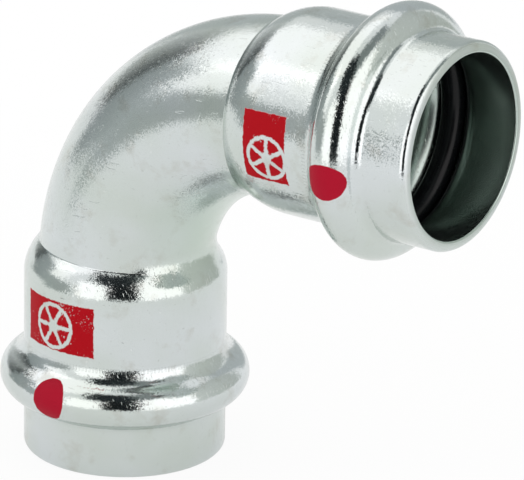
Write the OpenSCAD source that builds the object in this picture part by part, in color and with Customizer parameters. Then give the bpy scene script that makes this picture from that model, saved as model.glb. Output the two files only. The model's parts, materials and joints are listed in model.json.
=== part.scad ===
// Press-fit elbow: steel tube bent through a right angle, with a press socket formed at each end.
// The origin is the centre of the lower mouth. The lower socket stands along Z, the side socket along X.

/* [Pipe] */
// Outside diameter of the pipe that each socket takes
pipe_d = 22; // [20:0.5:28]
// Play between the pipe and its socket, on the diameter
pipe_play = 0.3; // [0.2:0.05:0.6]
// Distance from a mouth to the stop that the pipe's end meets
insert_depth = 23.9; // [22:0.1:25]

/* [Tube] */
// Wall thickness of the formed tube
wall = 1.4; // [1.2:0.05:1.6]
// Outside diameter of the bent tube
bend_d = 21.5; // [20:0.1:22.5]
// Radius of the bend along the middle of the tube
bend_radius = 25.3; // [24:0.1:26.5]
// Distance from the crossing of the two socket axes to each mouth
leg = 49; // [48:0.1:54]

/* [Shoulder] */
// Slope of the shoulder against the socket's axis
shoulder_angle = 45; // [40:1:50]
// Radius that rounds the shoulder into the socket
shoulder_round = 4.3; // [2:0.1:4.6]

/* [Bead] */
// Distance from a mouth to the crest of the bead
bead_to_mouth = 9.75; // [9:0.05:10.5]
// Height of the crest above the socket's outside
bead_rise = 2.95; // [2.5:0.05:3.3]
// Radius of the bead's outside, in section
bead_arc = 2.8; // [2.6:0.05:3]
// Wall thickness at the crest, where the steel is stretched
bead_wall = 1.2; // [1:0.05:1.3]
// Blend from the socket into the bead
bead_blend = 2.6; // [2:0.1:3]
// Blend from the bead into the lead-in at the mouth
lead_blend = 1.2; // [0.5:0.05:1.4]

/* [Mouth] */
// Rounding of the rim's outside edge
rim_outside = 0.6; // [0.3:0.05:0.7]
// Rounding of the rim's inside edge
rim_inside = 0.35; // [0.2:0.05:0.5]

/* [Seal rings] */
// Room between the ring's section and the groove's arc
seal_clear = 0.1; // [0.05:0.05:0.2]
// How far the ring stands into the bore
seal_reach = 0.15; // [0.1:0.05:0.2]

/* [Hidden] */
$fn = 96;
// Largest turn between two points of a rounded profile
arc_step = 7.5;
// Overshoot of the cuts past the mouth
cut_past = 2;
bore_r = (pipe_d + pipe_play) / 2;
socket_r = bore_r + wall;
bend_r = bend_d / 2;
groove_arc = bead_arc - bead_wall;
bead_centre_r = socket_r + bead_rise - bead_arc;
seal_section_r = groove_arc - seal_clear;
seal_centre_r = bore_r - seal_reach + seal_section_r;

// Points along an arc about a centre, from one angle to another
function arc(centre, radius, from, to) =
    let (steps = ceil(abs(to - from) / arc_step))
    [for (i = [0:steps])
        let (a = from + (to - from) * i / steps)
        centre + radius * [cos(a), sin(a)]];

// Distance along the axis from a bead's crest to the centre of its blend into a cylinder
function blend_run(cylinder_r, arc_r, blend) =
    sqrt(pow(arc_r + blend, 2) - pow(cylinder_r + blend - bead_centre_r, 2));

// Bead with its two blends into a cylinder, as points from the mouth side to the bend side
function bead_points(cylinder_r, arc_r, lead, inner) =
    let (lead_run = blend_run(cylinder_r, arc_r, lead))
    let (inner_run = blend_run(cylinder_r, arc_r, inner))
    let (lead_rise = cylinder_r + lead - bead_centre_r)
    let (inner_rise = cylinder_r + inner - bead_centre_r)
    let (lead_turn = atan2(lead_run, lead_rise))
    let (inner_turn = atan2(inner_run, inner_rise))
    concat(
        arc([cylinder_r + lead, bead_to_mouth - lead_run], lead, 180, 180 - lead_turn),
        arc([bead_centre_r, bead_to_mouth], arc_r, -lead_turn, inner_turn),
        arc([cylinder_r + inner, bead_to_mouth + inner_run], inner, 180 + inner_turn, 180));

// Cone from a corner on a cylinder down to a radius inside the bent tube
function cone_end(corner_r, corner_y, end_r) =
    [end_r, corner_y + (corner_r - end_r) / tan(shoulder_angle)];

// Outside of a socket, as radius against depth from the mouth
module socket_outside() {
    shoulder_y = insert_depth + (wall - shoulder_round) * tan(shoulder_angle / 2);
    round_centre = [socket_r - shoulder_round, shoulder_y];
    round_end = round_centre + shoulder_round * [cos(shoulder_angle), sin(shoulder_angle)];
    cone = cone_end(round_end.x, round_end.y, bend_r - wall);
    polygon(concat(
        [[0, 0]],
        arc([socket_r - rim_outside, rim_outside], rim_outside, -90, 0),
        bead_points(socket_r, bead_arc, lead_blend, bead_blend),
        arc(round_centre, shoulder_round, 0, shoulder_angle),
        [cone, [0, cone.y]]));
}

// Hollow of a socket, as radius against depth from the mouth
module socket_hollow() {
    cone = cone_end(bore_r, insert_depth, bend_r - 2 * wall);
    polygon(concat(
        [[0, -cut_past], [bore_r + rim_inside, -cut_past]],
        arc([bore_r + rim_inside, rim_inside], rim_inside, 270, 180),
        bead_points(bore_r, groove_arc, lead_blend + wall, bead_blend + wall),
        [[bore_r, insert_depth], cone, [0, cone.y]]));
}

// Stands its children, made along Z from a mouth, on the lower or the side socket's axis
module at_lower() { children(); }
module at_side() { translate([leg, 0, leg]) rotate([0, -90, 0]) children(); }

// Quarter turn of round bar between the two sockets
module quarter_bend(radius) {
    translate([bend_radius, 0, leg - bend_radius])
    rotate([90, -90, 0])
    rotate_extrude(angle = 90) translate([bend_radius, 0]) circle(radius);
}

// Straight tube between the bend and a socket, where the leg is long enough to leave one
module straight_run(radius) {
    run = leg - bend_radius - insert_depth;
    if (run > 0) translate([0, 0, insert_depth]) cylinder(h = run, r = radius);
}

module leg_outside() {
    rotate_extrude() socket_outside();
    straight_run(bend_r);
}

module leg_hollow() {
    rotate_extrude() socket_hollow();
    straight_run(bend_r - wall);
}

module elbow_body() {
    color("silver")
    difference() {
        union() {
            quarter_bend(bend_r);
            at_lower() leg_outside();
            at_side() leg_outside();
        }
        quarter_bend(bend_r - wall);
        at_lower() leg_hollow();
        at_side() leg_hollow();
    }
}

// Rubber ring lying in the groove of a bead
module seal_ring() {
    translate([0, 0, bead_to_mouth])
    rotate_extrude() translate([seal_centre_r, 0]) circle(seal_section_r);
}

module lower_seal_ring() { color("#1c1e1f") at_lower() seal_ring(); }
module side_seal_ring() { color("#1c1e1f") at_side() seal_ring(); }

elbow_body();
lower_seal_ring();
side_seal_ring();
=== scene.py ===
import json
import math

import bpy
from mathutils import Matrix, Vector

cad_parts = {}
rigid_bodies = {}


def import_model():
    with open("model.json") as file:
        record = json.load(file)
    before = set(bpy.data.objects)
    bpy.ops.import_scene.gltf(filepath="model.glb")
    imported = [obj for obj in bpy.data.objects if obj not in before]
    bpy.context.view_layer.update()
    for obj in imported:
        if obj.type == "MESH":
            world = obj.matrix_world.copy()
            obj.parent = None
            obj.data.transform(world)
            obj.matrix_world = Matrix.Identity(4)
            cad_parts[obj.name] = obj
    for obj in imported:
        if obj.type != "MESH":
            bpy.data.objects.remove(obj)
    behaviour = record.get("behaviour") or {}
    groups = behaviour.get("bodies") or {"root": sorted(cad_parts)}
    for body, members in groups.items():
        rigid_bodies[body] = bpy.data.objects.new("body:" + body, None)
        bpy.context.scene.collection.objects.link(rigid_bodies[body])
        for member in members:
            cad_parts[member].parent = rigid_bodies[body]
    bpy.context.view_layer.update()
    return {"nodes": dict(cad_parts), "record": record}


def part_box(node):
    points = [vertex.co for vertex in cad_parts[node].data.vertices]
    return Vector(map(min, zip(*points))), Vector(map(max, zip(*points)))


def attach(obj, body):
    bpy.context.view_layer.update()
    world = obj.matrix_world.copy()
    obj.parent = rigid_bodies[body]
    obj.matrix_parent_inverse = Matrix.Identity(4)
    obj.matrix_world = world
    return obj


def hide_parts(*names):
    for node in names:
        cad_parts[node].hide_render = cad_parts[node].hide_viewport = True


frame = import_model()
mm = 0.001


# Small helpers

def hexLinear(code):
    def channel(v):
        return v / 12.92 if v <= 0.04045 else ((v + 0.055) / 1.055) ** 2.4
    return tuple(channel(int(code[i:i + 2], 16) / 255) for i in (1, 3, 5)) + (1.0,)


# Adds a node with its settings; an input is a socket or node to link, or a value to set
def addNode(tree, kind, inputs=(), **settings):
    node = tree.nodes.new(kind)
    for name, value in settings.items():
        setattr(node, name, value)
    for key, value in (inputs.items() if isinstance(inputs, dict) else enumerate(inputs)):
        if isinstance(value, bpy.types.Node):
            value = value.outputs[0]
        if isinstance(value, bpy.types.NodeSocket):
            tree.links.new(value, node.inputs[key])
        else:
            node.inputs[key].default_value = value
    return node


def newMaterial(name):
    material = bpy.data.materials.new(name)
    material.use_nodes = True
    material.node_tree.nodes.clear()
    return material


def onArc(centre, radius, start, end, steps):
    points = []
    for i in range(steps + 1):
        a = math.radians(start + (end - start) * i / steps)
        points.append((centre[0] + radius * math.cos(a), centre[1] + radius * math.sin(a)))
    return points


def smoothStep(low, high, value):
    t = min(1.0, max(0.0, (value - low) / (high - low)))
    return t * t * (3 - 2 * t)


# Sizes of the elbow, read from the frame where it has them, in millimetres and degrees

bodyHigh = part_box("elbow_body")[1] / mm
ringLow, ringHigh = (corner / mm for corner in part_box("lower_seal_ring"))
socketMount = next(m for m in frame["record"]["mounts"] if m["name"] == "lower_socket")

elbow = {
    "bore": socketMount["dims"]["r_mm"],
    "stop": 23.9,                                      # depth of the pipe stop
    "leg": bodyHigh.x,                                 # axis crossing to mouth
    "crest": bodyHigh.y,                               # radius of the bead's crest
    "beadDepth": (ringLow.z + ringHigh.z) / 2,         # mouth to crest
    "wall": 1.4,
    "beadWall": 1.2,
    "beadArc": 2.8,
    "beadBlend": 2.6,
    "leadBlend": 1.2,
    "bend": 10.75,                                     # outside radius of the bent tube
    "bendRadius": 25.3,
    # lower and side leg: depth where the socket starts to close in, its arc, and the crease's lean
    "shoulders": [
        {"start": 22.8, "round": 4.9, "lean": 3.2},
        {"start": 21.2, "round": 9.9, "lean": -1.5},
    ],
    "stopRound": 3.5,
    "creaseEdges": (0.04, 0.12),                       # rings close beside the crease, to keep it sharp
    "innerFillet": 12.0,                               # soft run of shoulder into bend, inside the bend
    "filletReach": (0.45, 0.95),                       # where it fades in, as a share of the ring's radius
    "fullTurn": 24.0,                                  # where the bend's rings stand square to it
    "rimOutside": 0.8,
    "rimInside": 0.25,
    "sides": 176,
}
elbow["socket"] = elbow["bore"] + elbow["wall"]
elbow["beadCentre"] = elbow["crest"] - elbow["beadArc"]


# One leg's section from the mouth inwards, as (depth, radius) pairs up to the shoulder

def beadSection(cylinder, arc, lead, inner):
    centre, depth = elbow["beadCentre"], elbow["beadDepth"]
    leadRun = math.sqrt((arc + lead) ** 2 - (cylinder + lead - centre) ** 2)
    innerRun = math.sqrt((arc + inner) ** 2 - (cylinder + inner - centre) ** 2)
    leadTurn = math.degrees(math.atan2(leadRun, cylinder + lead - centre))
    innerTurn = math.degrees(math.atan2(innerRun, cylinder + inner - centre))
    points = onArc((cylinder + lead, depth - leadRun), lead, 180, 180 - leadTurn, 12)
    points += onArc((centre, depth), arc, -leadTurn, innerTurn, 32)[1:]
    points += onArc((cylinder + inner, depth + innerRun), inner, 180 + innerTurn, 180, 14)[1:]
    return points


def socketSection(outside):
    e = elbow
    if outside:
        points = [(e["bore"] + e["rimInside"], 0)]
        points += onArc((e["socket"] - e["rimOutside"], e["rimOutside"]), e["rimOutside"], -90, 0, 10)
        points += beadSection(e["socket"], e["beadArc"], e["leadBlend"], e["beadBlend"])
    else:
        points = onArc((e["bore"] + e["rimInside"], e["rimInside"]), e["rimInside"], 270, 180, 8)
        points += beadSection(e["bore"], e["beadArc"] - e["beadWall"], e["leadBlend"] + e["wall"],
                              e["beadBlend"] + e["wall"])
    return [(depth, radius) for radius, depth in points]


# The shoulder closes in along an arc down to the bent tube, and stops there in a crease;
# inside the bend a fillet takes the crease's place

def shoulderSection(cylinder, tube, start, arc, fillet):
    drop = cylinder - tube
    crease = start + math.sqrt(arc ** 2 - (arc - drop) ** 2)
    filletEnd = start + math.sqrt((arc + fillet) ** 2 - (fillet + arc - drop) ** 2)
    filletStart = start + (filletEnd - start) * arc / (arc + fillet)
    near, far = elbow["creaseEdges"]
    arcSteps, filletSteps = 22, 16
    depths = [start + (crease - far - start) * i / arcSteps for i in range(arcSteps + 1)]
    depths += [crease - near, crease + near, crease + far]
    depths += [crease + far + (filletEnd - crease) * i / filletSteps for i in range(1, filletSteps + 1)]
    stations = []
    for depth in depths:
        arcRadius = cylinder - arc + math.sqrt(max(0.0, arc ** 2 - (depth - start) ** 2))
        radius = arcRadius if depth < crease else tube
        soft = radius
        if filletStart < depth < filletEnd:
            soft = tube + fillet - math.sqrt(fillet ** 2 - (filletEnd - depth) ** 2)
        stations.append((depth, radius, soft - radius))
    return stations, crease


# Stations of the swept ring: its centre, its lean, its radius, the fillet's height and the depth

def halfStations(outside, side):
    e = elbow
    formed = e["shoulders"][side]
    stations = [(Vector((0, 0, depth)), 0.0, radius, 0.0, depth) for depth, radius in socketSection(outside)]
    if outside:
        shoulder, crease = shoulderSection(e["socket"], e["bend"], formed["start"], formed["round"],
                                           e["innerFillet"])
    else:
        shoulder, crease = shoulderSection(e["bore"], e["bend"] - e["wall"], e["stop"], e["stopRound"],
                                           e["innerFillet"] + e["wall"])
    straight = e["leg"] - e["bendRadius"]
    turnAt = math.degrees(math.asin((crease - straight) / e["bendRadius"]))
    lagAt = turnAt - formed["lean"]

    def bendStation(turn, radius, fill):
        a = math.radians(turn)
        centre = Vector((e["bendRadius"] * (1 - math.cos(a)), 0, straight + e["bendRadius"] * math.sin(a)))
        lag = lagAt * (1 - smoothStep(turnAt, e["fullTurn"], turn))
        return (centre, turn - lag, radius, fill, centre.z)

    last = 0.0
    for depth, radius, fill in shoulder:
        if depth < crease:
            share = ((depth - shoulder[0][0]) / (crease - shoulder[0][0])) ** 2
            aside = e["bendRadius"] * (1 - math.cos(math.radians(turnAt))) * share
            stations.append((Vector((aside, 0, depth)), formed["lean"] * share, radius, fill, depth))
        else:
            last = math.degrees(math.asin((depth - straight) / e["bendRadius"]))
            stations.append(bendStation(last, radius, fill))
    bendSteps = 22
    for i in range(1, bendSteps + 1):
        stations.append(bendStation(last + (45 - last) * i / bendSteps, shoulder[-1][1], 0.0))
    return stations


def makeSpine(name, outside):
    half = halfStations(outside, 0)
    leg = elbow["leg"]
    mirrored = [(Vector((leg - c.z, 0, leg - c.x)), 90 - lean, radius, fill, depth)
                for c, lean, radius, fill, depth in reversed(halfStations(outside, 1)[:-1])]
    stations = half + mirrored
    count = len(stations)
    mesh = bpy.data.meshes.new(name)
    mesh.from_pydata([(0, 0, i * mm) for i in range(count)], [(i, i + 1) for i in range(count - 1)], [])
    columns = {
        "ringLean": [math.radians(s[1]) for s in stations],
        "ringRadius": [s[2] * mm for s in stations],
        "innerFill": [s[3] * mm for s in stations],
        "depth": [s[4] for s in stations],
        "sideLeg": [float(i >= len(half)) for i in range(count)],
        "outside": [float(outside)] * count,
    }
    for column, values in columns.items():
        mesh.attributes.new(column, "FLOAT", "POINT").data.foreach_set("value", values)
    centres = mesh.attributes.new("ringCentre", "FLOAT_VECTOR", "POINT")
    centres.data.foreach_set("vector", [v * mm for s in stations for v in s[0]])
    spine = bpy.data.objects.new(name, mesh)
    bpy.context.scene.collection.objects.link(spine)
    return spine


# Geometry Nodes tree: sweeps a ring of changing radius along two straight spines, bends both walls
# round the elbow, stores where each point lies for the print, and joins the walls at the rims

def formedTubeTree():
    tree = bpy.data.node_groups.new("formedTube", "GeometryNodeTree")
    for name, kind in (("Geometry", "Geometry"), ("Inner Spine", "Object"), ("Sides", "Int"),
                       ("Print Radius", "Float"), ("Finish", "Material")):
        tree.interface.new_socket(name, in_out="INPUT", socket_type="NodeSocket" + kind)
    tree.interface.new_socket("Geometry", in_out="OUTPUT", socket_type="NodeSocketGeometry")
    entry = addNode(tree, "NodeGroupInput").outputs
    ring = addNode(tree, "GeometryNodeCurvePrimitiveCircle", {"Radius": 1.0, "Resolution": entry["Sides"]})
    radius, lean, fill, outside = (
        addNode(tree, "GeometryNodeInputNamedAttribute", {"Name": name}, data_type="FLOAT")
        for name in ("ringRadius", "ringLean", "innerFill", "outside"))
    centre = addNode(tree, "GeometryNodeInputNamedAttribute", {"Name": "ringCentre"},
                     data_type="FLOAT_VECTOR")
    inner = addNode(tree, "GeometryNodeObjectInfo", {"Object": entry["Inner Spine"]})

    walls = []
    for spine in (entry["Geometry"], inner.outputs["Geometry"]):
        curve = addNode(tree, "GeometryNodeMeshToCurve", {"Mesh": spine})
        walls.append(addNode(tree, "GeometryNodeCurveToMesh",
                             {"Curve": curve, "Profile Curve": ring, "Scale": radius}))
    innerWall = addNode(tree, "GeometryNodeFlipFaces", {"Mesh": walls[1]})
    both = addNode(tree, "GeometryNodeJoinGeometry")
    for wall in (innerWall, walls[0]):
        tree.links.new(wall.outputs[0], both.inputs[0])

    # how far round each point lies from the front, which faces -Y, and whether it is on that side
    place = addNode(tree, "ShaderNodeSeparateXYZ", (addNode(tree, "GeometryNodeInputPosition"),)).outputs
    forward = addNode(tree, "ShaderNodeMath", (place[1],), operation="ABSOLUTE")
    turn = addNode(tree, "ShaderNodeMath", (place[0], forward), operation="ARCTAN2")
    arc = addNode(tree, "ShaderNodeMath", (turn, entry["Print Radius"]), operation="MULTIPLY")
    faces = addNode(tree, "ShaderNodeMath", (place[1], 0.0), operation="LESS_THAN")
    front = addNode(tree, "ShaderNodeMath", (faces, outside), operation="MULTIPLY")
    named = both
    for name, value in (("turn", arc), ("front", front)):
        named = addNode(tree, "GeometryNodeStoreNamedAttribute",
                        {"Geometry": named, "Name": name, "Value": value}, data_type="FLOAT", domain="POINT")

    # inside the bend the fillet swells the ring
    inward = addNode(tree, "ShaderNodeMath", (place[0], radius), operation="DIVIDE")
    begins, ends = elbow["filletReach"]
    share = addNode(tree, "ShaderNodeMapRange", {"Value": inward, "From Min": begins, "From Max": ends},
                    interpolation_type="SMOOTHSTEP")
    swell = addNode(tree, "ShaderNodeMath", (share, fill), operation="MULTIPLY")
    swell = addNode(tree, "ShaderNodeMath", (swell, radius), operation="DIVIDE")
    swell = addNode(tree, "ShaderNodeMath", (swell, 1.0), operation="ADD")
    flat = addNode(tree, "ShaderNodeCombineXYZ", (place[0], place[1], 0.0))
    swollen = addNode(tree, "ShaderNodeVectorMath", {0: flat, "Scale": swell}, operation="SCALE")
    leaned = addNode(tree, "ShaderNodeVectorRotate", {"Vector": swollen, "Angle": lean},
                     rotation_type="Y_AXIS")
    bent = addNode(tree, "ShaderNodeVectorMath", (leaned, centre), operation="ADD")
    formed = addNode(tree, "GeometryNodeSetPosition", {"Geometry": named, "Position": bent})

    whole = addNode(tree, "GeometryNodeMergeByDistance", {"Geometry": formed, "Distance": 0.0005 * mm})
    smooth = addNode(tree, "GeometryNodeSetShadeSmooth", {"Geometry": whole})
    real = addNode(tree, "GeometryNodeRealizeInstances", {"Geometry": smooth})
    finish = addNode(tree, "GeometryNodeSetMaterial", {"Geometry": real, "Material": entry["Finish"]})
    addNode(tree, "NodeGroupOutput", {"Geometry": finish})
    return tree


def makeFormedTube(finish):
    outer = makeSpine("outerSpine", True)
    inner = makeSpine("innerSpine", False)
    tree = formedTubeTree()
    inputIds = {s.name: s.identifier for s in tree.interface.items_tree if s.in_out == "INPUT"}
    modifier = outer.modifiers.new("formedTube", "NODES")
    modifier.node_group = tree
    modifier[inputIds["Inner Spine"]] = inner
    modifier[inputIds["Sides"]] = elbow["sides"]
    modifier[inputIds["Print Radius"]] = elbow["socket"]
    modifier[inputIds["Finish"]] = finish
    evaluated = outer.evaluated_get(bpy.context.evaluated_depsgraph_get())
    mesh = bpy.data.meshes.new_from_object(evaluated)
    tube = bpy.data.objects.new("formedElbow", mesh)
    bpy.context.scene.collection.objects.link(tube)
    for spine in (outer, inner):
        bpy.data.objects.remove(spine)
    return tube


# Print and tool marks on each leg, in millimetres: turn runs round the socket from its front towards the
# inside of the bend, depth runs from the mouth

marks = {
    "fieldRed": "#aa0515",
    "dotRed": "#a8102a",
    "spokes": 6,
    "wheelLine": 0.24,                                 # half width of the wheel's unprinted lines
    "hub": 0.75,
    "legs": [
        {"field": (-1.3, 18.8), "half": (5.5, 3.2), "wheel": (-1.65, 18.7), "wheelRadius": 2.75,
         "dotTurn": -0.7, "dotDepth": 10.3},
        {"field": (1.0, 19.8), "half": (4.35, 3.0), "wheel": (2.2, 19.4), "wheelRadius": 2.6,
         "dotTurn": 8.6, "dotDepth": 9.45},
    ],
    "dotRadius": 2.85,
    "dotNarrow": 0.9,                                  # how much the dot is squeezed along the turn
    "soft": 0.05,                                      # half width of the print's edge
    "ragged": 0.1,                                     # how far that edge strays
    "tickDepth": 14.1,                                 # ticks that the forming tool left beside the bead
    "tickHalf": 0.28,
    "tickStep": 0.45,
}


def dotCentre(side, leg):
    e = elbow
    reach = e["beadCentre"] + math.sqrt(e["beadArc"] ** 2 - (leg["dotDepth"] - e["beadDepth"]) ** 2)
    a = math.radians(leg["dotTurn"])
    across, ahead = reach * math.sin(a), -reach * math.cos(a)
    if side:
        return (e["leg"] - leg["dotDepth"], ahead, e["leg"] - across)
    return (across, ahead, leg["dotDepth"])


# Share of ink at each point, from the red fields and from the dots on the beads

def printedMarks(tree, position, turn, depth, sideLeg):
    soft, line = marks["soft"], marks["wheelLine"]
    rough = addNode(tree, "ShaderNodeTexNoise", {"Vector": position, "Scale": 2.0, "Detail": 4.0,
                                                 "Roughness": 0.65})
    ragged = addNode(tree, "ShaderNodeMapRange", {"Value": rough, "From Min": 0.3, "From Max": 0.7,
                                                  "To Min": -marks["ragged"], "To Max": marks["ragged"]})
    spot = addNode(tree, "ShaderNodeCombineXYZ", (turn, depth, 0.0))
    fields, dots = 0.0, 0.0
    for side, leg in enumerate(marks["legs"]):
        here = addNode(tree, "ShaderNodeMath", (sideLeg, side, 0.4), operation="COMPARE")
        off = addNode(tree, "ShaderNodeVectorMath", (spot, leg["field"] + (0.0,)), operation="SUBTRACT")
        off = addNode(tree, "ShaderNodeVectorMath", (off,), operation="ABSOLUTE")
        off = addNode(tree, "ShaderNodeVectorMath", (off, leg["half"] + (0.0,)), operation="SUBTRACT")
        edges = addNode(tree, "ShaderNodeSeparateXYZ", (off,)).outputs
        edge = addNode(tree, "ShaderNodeMath", (edges[0], edges[1]), operation="MAXIMUM")
        edge = addNode(tree, "ShaderNodeMath", (edge, ragged), operation="ADD")
        field = addNode(tree, "ShaderNodeMapRange", {"Value": edge, "From Min": soft, "From Max": -soft})

        # a plain hand wheel is left unprinted
        arm = addNode(tree, "ShaderNodeVectorMath", (spot, leg["wheel"] + (0.0,)), operation="SUBTRACT")
        reach = addNode(tree, "ShaderNodeVectorMath", (arm,), operation="LENGTH").outputs["Value"]
        beyond = addNode(tree, "ShaderNodeMath", (reach, leg["wheelRadius"]), operation="SUBTRACT")
        rim = addNode(tree, "ShaderNodeMath", (beyond,), operation="ABSOLUTE")
        arms = addNode(tree, "ShaderNodeSeparateXYZ", (arm,)).outputs
        bearing = addNode(tree, "ShaderNodeMath", (arms[1], arms[0]), operation="ARCTAN2")
        bearing = addNode(tree, "ShaderNodeMath", (bearing, marks["spokes"] / 2), operation="MULTIPLY")
        spoke = addNode(tree, "ShaderNodeMath", (bearing,), operation="SINE")
        spoke = addNode(tree, "ShaderNodeMath", (spoke,), operation="ABSOLUTE")
        spoke = addNode(tree, "ShaderNodeMath", (spoke, reach), operation="MULTIPLY")
        spoke = addNode(tree, "ShaderNodeMath", (spoke, 2 / marks["spokes"]), operation="MULTIPLY")
        spoke = addNode(tree, "ShaderNodeMath", (spoke, beyond), operation="MAXIMUM")
        hub = addNode(tree, "ShaderNodeMath", (reach, marks["hub"] - line), operation="SUBTRACT")
        wheel = addNode(tree, "ShaderNodeMath", (rim, spoke), operation="MINIMUM")
        wheel = addNode(tree, "ShaderNodeMath", (wheel, hub), operation="MINIMUM")
        wheel = addNode(tree, "ShaderNodeMath", (wheel, ragged), operation="ADD")
        inked = addNode(tree, "ShaderNodeMapRange", {"Value": wheel, "From Min": line - soft,
                                                     "From Max": line + soft})
        field = addNode(tree, "ShaderNodeMath", (field, inked), operation="MULTIPLY")
        field = addNode(tree, "ShaderNodeMath", (field, here), operation="MULTIPLY")
        fields = addNode(tree, "ShaderNodeMath", (fields, field), operation="MAXIMUM")

        # the dot is where a ball would cut the bead, squeezed along the turn
        away = addNode(tree, "ShaderNodeVectorMath", (position, dotCentre(side, leg)), operation="DISTANCE")
        away = addNode(tree, "ShaderNodeMath", (away.outputs["Value"], 2.0), operation="POWER")
        swing = addNode(tree, "ShaderNodeMath", (turn, math.radians(leg["dotTurn"]) * elbow["socket"]),
                        operation="SUBTRACT")
        swing = addNode(tree, "ShaderNodeMath", (swing, swing), operation="MULTIPLY")
        away = addNode(tree, "ShaderNodeMath", (swing, marks["dotNarrow"], away), operation="MULTIPLY_ADD")
        away = addNode(tree, "ShaderNodeMath", (away,), operation="SQRT")
        away = addNode(tree, "ShaderNodeMath", (ragged, 0.5, away), operation="MULTIPLY_ADD")
        dot = addNode(tree, "ShaderNodeMapRange", {"Value": away, "From Min": marks["dotRadius"] + soft,
                                                   "From Max": marks["dotRadius"] - soft})
        dot = addNode(tree, "ShaderNodeMath", (dot, here), operation="MULTIPLY")
        dots = addNode(tree, "ShaderNodeMath", (dots, dot), operation="MAXIMUM")

    # specks where the ink of the fields is rubbed through, in patches
    rub = addNode(tree, "ShaderNodeTexNoise", {"Vector": position, "Scale": 3.2, "Detail": 5.0,
                                               "Roughness": 0.75})
    patch = addNode(tree, "ShaderNodeTexNoise", {"Vector": position, "Scale": 0.35, "Detail": 1.0})
    rub = addNode(tree, "ShaderNodeMath", (patch, 0.35, rub), operation="MULTIPLY_ADD")
    worn = addNode(tree, "ShaderNodeMapRange", {"Value": rub, "From Min": 0.49, "From Max": 0.53})
    fields = addNode(tree, "ShaderNodeMath", (fields, worn), operation="MULTIPLY")
    return fields, dots


# Bright zinc plating on formed steel: a pale, faintly green metal, satin on the bend and brighter on the
# pressed sockets, with a fine crystalline grain that breaks up the edges of reflections. Red ink is
# stamped on it, flat and a little worn.

plating = {
    "tints": ("#d3d9da", "#cad2cd"),
    "smudge": "#b3b2a8",                               # warm grey
    "smudgeShare": 0.45,
    "innerBend": "#bdcfc0",                            # painted green reflection inside the bend, where the zinc reflects itself
    "innerBendShare": 0.55,
    "innerBendReach": (4.0, 12.0),                     # where that starts to fade, and ends
    "speck": "#85897f",
    "speckShare": 0.4,
    "bore": "#b8c4be",                                 # painted shade and painted green reflection inside the bore
    "socketRough": 0.1,
    "bendRough": 0.15,
    "satinDepths": (24.0, 29.0),                       # where the first gives way to the second
    "cloudRough": 0.06,                                # uneven part of the roughness
    "cutRough": 0.3,                                   # the cut end is dull
    "cutDepths": (0.1, 0.25),
    "boreRough": 0.24,
    "inkRough": 0.5,
    "inkSheen": 0.08,
    "inkHeight": 0.006,                                # heights and depths in millimetres
    "waveHeight": 0.02,
    "scratchDepth": 0.012,
    "tickCut": 0.045,
    "crystals": 9.0,                                   # to a millimetre, coarse enough to show
    "crystalTips": (0.05, 0.13),                       # how far each one tips the surface
}


# Slow drift of tint, with warm smudges, a painted green reflection inside the bend, small grey specks, and
# painted shade inside the bore

def platedColour(tree, position, outside):
    p, e = plating, elbow
    inner = (e["bendRadius"] - e["bend"]) * math.sqrt(0.5)
    innerBend = (e["bendRadius"] - inner, 0.0, e["leg"] - e["bendRadius"] + inner)
    drift = addNode(tree, "ShaderNodeTexNoise", {"Vector": position, "Scale": 1 / 11, "Detail": 2.0})
    drift = addNode(tree, "ShaderNodeMapRange", {"Value": drift, "From Min": 0.35, "From Max": 0.65})
    smudge = addNode(tree, "ShaderNodeTexNoise", {"Vector": position, "Scale": 0.3, "Detail": 4.0,
                                                  "Roughness": 0.6})
    smudge = addNode(tree, "ShaderNodeMapRange", {"Value": smudge, "From Min": 0.55, "From Max": 0.75,
                                                  "To Max": p["smudgeShare"]})
    away = addNode(tree, "ShaderNodeVectorMath", (position, innerBend), operation="DISTANCE")
    # painted green reflection, strongest at the inside of the bend and fading away from it
    green = addNode(tree, "ShaderNodeMapRange", {
        "Value": away.outputs["Value"], "From Min": p["innerBendReach"][0],
        "From Max": p["innerBendReach"][1], "To Min": p["innerBendShare"], "To Max": 0.0})
    speck = addNode(tree, "ShaderNodeTexNoise", {"Vector": position, "Scale": 1.9, "Detail": 5.0,
                                                 "Roughness": 0.75})
    speck = addNode(tree, "ShaderNodeMapRange", {"Value": speck, "From Min": 0.63, "From Max": 0.72,
                                                 "To Max": p["speckShare"]})
    tint = addNode(tree, "ShaderNodeMix", {0: drift, 6: hexLinear(p["tints"][0]),
                                           7: hexLinear(p["tints"][1])}, data_type="RGBA")
    for share, shade in ((smudge, p["smudge"]), (green, p["innerBend"]), (speck, p["speck"])):
        tint = addNode(tree, "ShaderNodeMix", {0: share, 6: tint.outputs[2], 7: hexLinear(shade)},
                       data_type="RGBA")
    # inside the bore the tint gives way to the painted shade and green reflection
    return addNode(tree, "ShaderNodeMix", {0: outside, 6: hexLinear(p["bore"]), 7: tint.outputs[2]},
                   data_type="RGBA").outputs[2]


# Brighter on the sockets, satin on the bend, dull at the cut ends and in the ink

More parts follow.
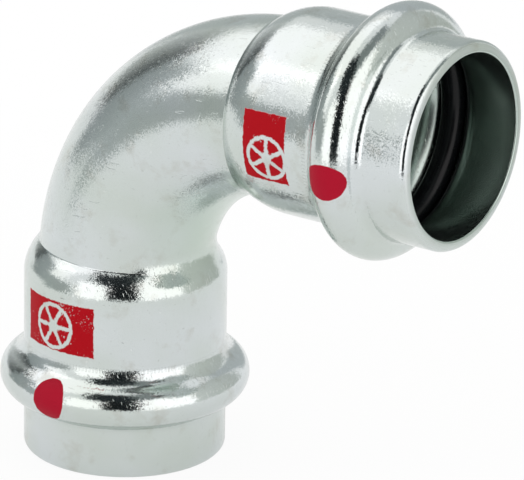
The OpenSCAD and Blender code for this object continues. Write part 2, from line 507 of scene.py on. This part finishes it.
def platedRoughness(tree, position, depth, outside, ink):
    p = plating
    satin = addNode(tree, "ShaderNodeMapRange", {
        "Value": depth, "From Min": p["satinDepths"][0], "From Max": p["satinDepths"][1],
        "To Min": p["socketRough"], "To Max": p["bendRough"]}, interpolation_type="SMOOTHSTEP")
    cloud = addNode(tree, "ShaderNodeTexNoise", {"Vector": position, "Scale": 0.35, "Detail": 3.0})
    satin = addNode(tree, "ShaderNodeMath", (cloud, p["cloudRough"], satin), operation="MULTIPLY_ADD")
    cut = addNode(tree, "ShaderNodeMapRange", {
        "Value": depth, "From Min": p["cutDepths"][1], "From Max": p["cutDepths"][0],
        "To Max": p["cutRough"]})
    satin = addNode(tree, "ShaderNodeMath", (satin, cut), operation="ADD")
    satin = addNode(tree, "ShaderNodeMix", {0: outside, 2: p["boreRough"], 3: satin}, data_type="FLOAT")
    return addNode(tree, "ShaderNodeMix", {0: ink, 2: satin, 3: p["inkRough"]}, data_type="FLOAT")


# Slow waves of the formed wall, faint scratches across it, tool ticks beside the bead, and the crystals

def platedNormal(tree, position, turn, depth, outside, ink, bare):
    p = plating
    waves = addNode(tree, "ShaderNodeTexNoise", {"Vector": position, "Scale": 0.2, "Detail": 2.0})
    height = addNode(tree, "ShaderNodeMath", (waves, p["waveHeight"]), operation="MULTIPLY")
    scratches = 0.0
    for stretch in ((0.35, 5.0, 1.6), (1.6, 5.0, 0.35)):
        drawn = addNode(tree, "ShaderNodeVectorMath", (position, stretch), operation="MULTIPLY")
        lines = addNode(tree, "ShaderNodeTexNoise", {"Vector": drawn, "Scale": 1.0, "Detail": 1.0})
        lines = addNode(tree, "ShaderNodeMapRange", {"Value": lines, "From Min": 0.7, "From Max": 0.76})
        scratches = addNode(tree, "ShaderNodeMath", (scratches, lines), operation="MAXIMUM")
    beside = addNode(tree, "ShaderNodeMath", (depth, marks["tickDepth"], marks["tickHalf"]),
                     operation="COMPARE")
    beat = addNode(tree, "ShaderNodeMath", (turn, 2 * math.pi / marks["tickStep"]), operation="MULTIPLY")
    beat = addNode(tree, "ShaderNodeMath", (beat,), operation="SINE")
    tick = addNode(tree, "ShaderNodeMapRange", {"Value": beat, "From Min": 0.2, "From Max": 0.6})
    tick = addNode(tree, "ShaderNodeMath", (tick, beside), operation="MULTIPLY")
    tick = addNode(tree, "ShaderNodeMath", (tick, outside), operation="MULTIPLY")
    for share, rise in ((scratches, -p["scratchDepth"]), (ink, p["inkHeight"]), (tick, -p["tickCut"])):
        height = addNode(tree, "ShaderNodeMath", (share, rise, height), operation="MULTIPLY_ADD")
    bump = addNode(tree, "ShaderNodeBump", {"Strength": 1.0, "Distance": mm, "Height": height})

    # each crystal of the bare plating is tipped a few degrees
    crystal = addNode(tree, "ShaderNodeTexVoronoi", {"Vector": position, "Scale": p["crystals"]})
    tip = addNode(tree, "ShaderNodeVectorMath", (crystal.outputs["Color"], (0.5, 0.5, 0.5)),
                  operation="SUBTRACT")
    coarse = addNode(tree, "ShaderNodeTexNoise", {"Vector": position, "Scale": 0.6, "Detail": 2.0})
    coarse = addNode(tree, "ShaderNodeMapRange", {
        "Value": coarse, "From Min": 0.35, "From Max": 0.65,
        "To Min": p["crystalTips"][0], "To Max": p["crystalTips"][1]})
    coarse = addNode(tree, "ShaderNodeMath", (coarse, bare), operation="MULTIPLY")
    coarse = addNode(tree, "ShaderNodeMath", (coarse, outside), operation="MULTIPLY")
    tip = addNode(tree, "ShaderNodeVectorMath", {0: tip, "Scale": coarse}, operation="SCALE")
    grained = addNode(tree, "ShaderNodeVectorMath", (bump, tip), operation="ADD")
    return addNode(tree, "ShaderNodeVectorMath", (grained,), operation="NORMALIZE")


def zincPlatedSteel():
    material = newMaterial("zincPlatedSteel")
    tree = material.node_tree
    coords = addNode(tree, "ShaderNodeTexCoord").outputs["Object"]
    # patterns on the metal are measured in millimetres
    position = addNode(tree, "ShaderNodeVectorMath", {0: coords, "Scale": 1 / mm}, operation="SCALE")
    turn, depth, front, sideLeg, outside = (
        addNode(tree, "ShaderNodeAttribute", attribute_name=name).outputs["Fac"]
        for name in ("turn", "depth", "front", "sideLeg", "outside"))
    fields, dots = printedMarks(tree, position, turn, depth, sideLeg)
    ink = addNode(tree, "ShaderNodeMath", (fields, dots), operation="MAXIMUM")
    ink = addNode(tree, "ShaderNodeMath", (ink, front), operation="MULTIPLY")
    bare = addNode(tree, "ShaderNodeMath", (1.0, ink), operation="SUBTRACT")
    inkColour = addNode(tree, "ShaderNodeMix", {0: dots, 6: hexLinear(marks["fieldRed"]),
                                                7: hexLinear(marks["dotRed"])}, data_type="RGBA")
    colour = addNode(tree, "ShaderNodeMix", {0: ink, 6: platedColour(tree, position, outside),
                                             7: inkColour.outputs[2]}, data_type="RGBA")
    shader = addNode(tree, "ShaderNodeBsdfPrincipled", {
        "Base Color": colour.outputs[2], "Metallic": bare, "Specular IOR Level": plating["inkSheen"],
        "Roughness": platedRoughness(tree, position, depth, outside, ink),
        "Normal": platedNormal(tree, position, turn, depth, outside, ink, bare)})
    addNode(tree, "ShaderNodeOutputMaterial", {"Surface": shader})
    return material


# EPDM rubber, moulded: near black with a soft sheen and a faint bloom

sealRubber = {
    "shades": ("#0b0c0d", "#15171a"),
    "bloom": 1.5,                                      # size of the bloom's patches, in millimetres
    "rough": (0.16, 0.3),
    "sheen": 0.2,
}


def mouldedRubber():
    r = sealRubber
    material = newMaterial("mouldedEpdmRubber")
    tree = material.node_tree
    coords = addNode(tree, "ShaderNodeTexCoord").outputs["Object"]
    bloom = addNode(tree, "ShaderNodeTexNoise", {"Vector": coords, "Scale": 1 / (r["bloom"] * mm),
                                                 "Detail": 3.0})
    colour = addNode(tree, "ShaderNodeMix", {0: bloom, 6: hexLinear(r["shades"][0]),
                                             7: hexLinear(r["shades"][1])}, data_type="RGBA")
    rough = addNode(tree, "ShaderNodeMapRange", {"Value": bloom, "To Min": r["rough"][0],
                                                 "To Max": r["rough"][1]})
    shader = addNode(tree, "ShaderNodeBsdfPrincipled", {
        "Base Color": colour.outputs[2], "Roughness": rough, "Specular IOR Level": r["sheen"]})
    addNode(tree, "ShaderNodeOutputMaterial", {"Surface": shader})
    return material


body = makeFormedTube(zincPlatedSteel())
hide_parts("elbow_body")
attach(body, "root")
print("elbow body:", len(body.data.polygons), "faces")

rubber = mouldedRubber()
for name in ("lower_seal_ring", "side_seal_ring"):
    ring = frame["nodes"][name]
    ring.data.materials.clear()
    ring.data.materials.append(rubber)
print("seal rings: rubber")


# Studio: pale floor, white surroundings, soft boxes, and grey cards that only reflections see

studio = {
    "centre": Vector((17.7, 0, 31.3)) * mm,
    "worldLight": 0.85,
    "boxTint": "#fff6f5",
    "floor": "#f2f3f2",
    "floorGlow": 0.92,                                 # share of plain white in the floor under the object
    "floorMirror": 0.55,                               # the same for its reflection in the metal
    "floorReach": (0.04, 0.15),                        # where the floor starts to fade to white, and ends
    # azimuth and elevation in degrees, distance, width and height in metres, radiance
    "boxes": [
        ("rightBox", 78, 15, 0.9, 0.9, 1.04, 0.6),
        ("frontBox", -2.5, 8, 0.9, 0.57, 0.84, 0.6),
        ("cornerBox", -51, 33, 0.9, 0.35, 0.5, 0.38),
        ("leftBox", -97, 60, 0.9, 1.3, 0.73, 0.42),
    ],
    # the same, with shades from left to right in place of the radiance
    "cards": [
        ("frontCard", 33, 15, 1.2, 0.8, 1.5, "#1c2022", "#1c2022"),
        ("upperCard", 20, 57, 1.2, 0.85, 0.75, "#2a2f31", "#2a2f31"),
        ("leftCard", -108.5, 21, 1.2, 0.7, 0.67, "#d6d9d7", "#262c2e"),
        ("cornerCard", -78, 13.5, 1.25, 0.67, 0.79, "#989e9e", "#b2b8b8"),
        ("nearCard", -46, 2, 1.25, 0.81, 0.58, "#b6bcbc", "#b4b8b6"),
        ("backCard", -155, 24, 1.2, 1.3, 1.2, "#c0c5c5", "#c0c5c5"),
        ("rightCard", 136, 12, 1.2, 1.44, 1.9, "#dfe2dd", "#c2c6c1"),
        ("topCard", 88, 64, 1.2, 1.1, 0.6, "#8e9494", "#8e9494"),
    ],
}


def direction(azimuth, elevation):
    a, e = math.radians(azimuth), math.radians(elevation)
    return Vector((math.sin(a) * math.cos(e), -math.cos(a) * math.cos(e), math.sin(e)))


def facing(azimuth, elevation, distance):
    back = direction(azimuth, elevation)
    turn = (-back).to_track_quat("-Z", "Y").to_matrix().to_4x4()
    return Matrix.Translation(studio["centre"] + back * distance) @ turn


# 1 for what the camera, a reflection or glass sees directly, 0 for light on the object
def seenDirectly(tree):
    path = addNode(tree, "ShaderNodeLightPath").outputs
    seen = addNode(tree, "ShaderNodeMath", (path["Is Camera Ray"], path["Is Glossy Ray"]),
                   operation="MAXIMUM")
    return addNode(tree, "ShaderNodeMath", (seen, path["Is Transmission Ray"]), operation="MAXIMUM")


def whiteSurround():
    world = bpy.data.worlds.new("whiteSurround")
    world.use_nodes = True
    tree = world.node_tree
    tree.nodes.clear()
    strength = addNode(tree, "ShaderNodeMapRange", {"Value": seenDirectly(tree),
                                                    "To Min": studio["worldLight"], "To Max": 1.0})
    light = addNode(tree, "ShaderNodeBackground", {"Color": (1, 1, 1, 1), "Strength": strength})
    addNode(tree, "ShaderNodeOutputWorld", {"Surface": light})
    bpy.context.scene.world = world


def paleFloor():
    near, far = studio["floorReach"]
    material = newMaterial("palePaper")
    tree = material.node_tree
    coords = addNode(tree, "ShaderNodeTexCoord")
    middle = (studio["centre"].x, studio["centre"].y, 0)
    away = addNode(tree, "ShaderNodeVectorMath", (coords.outputs["Object"], middle), operation="DISTANCE")
    mirrored = addNode(tree, "ShaderNodeLightPath").outputs["Is Glossy Ray"]
    least = addNode(tree, "ShaderNodeMapRange", {"Value": mirrored, "To Min": studio["floorGlow"],
                                                 "To Max": studio["floorMirror"]})
    fade = addNode(tree, "ShaderNodeMapRange", {"Value": away.outputs["Value"], "From Min": near,
                                                "From Max": far, "To Min": least, "To Max": 1.0})
    matt = addNode(tree, "ShaderNodeBsdfDiffuse", {"Color": hexLinear(studio["floor"])})
    glow = addNode(tree, "ShaderNodeEmission", {"Color": (1, 1, 1, 1), "Strength": 1.0})
    share = addNode(tree, "ShaderNodeMath", (seenDirectly(tree), fade), operation="MULTIPLY")
    mixed = addNode(tree, "ShaderNodeMixShader", (share, matt, glow))
    addNode(tree, "ShaderNodeOutputMaterial", {"Surface": mixed})
    outline = [Vector((x, y, 0)) + Vector(middle) for x, y in onArc((0, 0), far, 0, 360, 96)[:-1]]
    mesh = bpy.data.meshes.new("floor")
    mesh.from_pydata(outline, [], [tuple(range(len(outline)))])
    mesh.materials.append(material)
    floor = bpy.data.objects.new("floor", mesh)
    bpy.context.scene.collection.objects.link(floor)


def softBox(name, azimuth, elevation, distance, width, height, radiance):
    lamp = bpy.data.lights.new(name, "AREA")
    lamp.shape = "RECTANGLE"
    lamp.size, lamp.size_y = width, height
    lamp.energy = radiance * math.pi * width * height       # watts for that radiance
    lamp.color = hexLinear(studio["boxTint"])[:3]
    box = bpy.data.objects.new(name, lamp)
    box.matrix_world = facing(azimuth, elevation, distance)
    bpy.context.scene.collection.objects.link(box)


def greyCard(name, azimuth, elevation, distance, width, height, leftShade, rightShade):
    material = newMaterial(name)
    tree = material.node_tree
    coords = addNode(tree, "ShaderNodeTexCoord")
    across = addNode(tree, "ShaderNodeSeparateXYZ", (coords.outputs["Object"],))
    share = addNode(tree, "ShaderNodeMapRange", {"Value": across, "From Min": -width / 2,
                                                 "From Max": width / 2})
    shade = addNode(tree, "ShaderNodeMix", {0: share, 6: hexLinear(leftShade), 7: hexLinear(rightShade)},
                    data_type="RGBA")
    glow = addNode(tree, "ShaderNodeEmission", {"Color": shade.outputs[2], "Strength": 1.0})
    addNode(tree, "ShaderNodeOutputMaterial", {"Surface": glow})
    mesh = bpy.data.meshes.new(name)
    w, h = width / 2, height / 2
    mesh.from_pydata([(-w, -h, 0), (w, -h, 0), (w, h, 0), (-w, h, 0)], [], [(0, 1, 2, 3)])
    mesh.materials.append(material)
    card = bpy.data.objects.new(name, mesh)
    card.matrix_world = facing(azimuth, elevation, distance)
    bpy.context.scene.collection.objects.link(card)
    card.visible_camera = False                             # only reflections see it
    card.visible_diffuse = False
    card.visible_shadow = False


whiteSurround()
paleFloor()
for box in studio["boxes"]:
    softBox(*box)
for card in studio["cards"]:
    greyCard(*card)
print("studio:", len(studio["boxes"]), "soft boxes,", len(studio["cards"]), "cards")


# Camera at the photograph's angle, from the lens to the point that it looks at

view = {"azimuth": 35.22, "elevation": 19.82, "roll": 1.07, "distance": 558.2, "lens": 317.7,
        "sensor": 36, "aimRight": 2.26, "aimUp": -0.65}

back = direction(view["azimuth"], view["elevation"])
right = Vector((math.cos(math.radians(view["azimuth"])), math.sin(math.radians(view["azimuth"])), 0))
up = back.cross(right)
roll = math.radians(view["roll"])
right, up = right * math.cos(roll) + up * math.sin(roll), up * math.cos(roll) - right * math.sin(roll)
eye = studio["centre"] + (right * view["aimRight"] + up * view["aimUp"] + back * view["distance"]) * mm
lens = bpy.data.cameras.new("photoCamera")
lens.lens = view["lens"]
lens.sensor_width = view["sensor"]
lens.clip_start, lens.clip_end = 0.01, 20
camera = bpy.data.objects.new("photoCamera", lens)
camera.matrix_world = Matrix.Translation(eye) @ Matrix((right, up, back)).transposed().to_4x4()
bpy.context.scene.collection.objects.link(camera)
bpy.context.scene.camera = camera
bpy.context.scene.view_settings.view_transform = "Standard"
print("camera:", [round(v, 4) for v in eye])
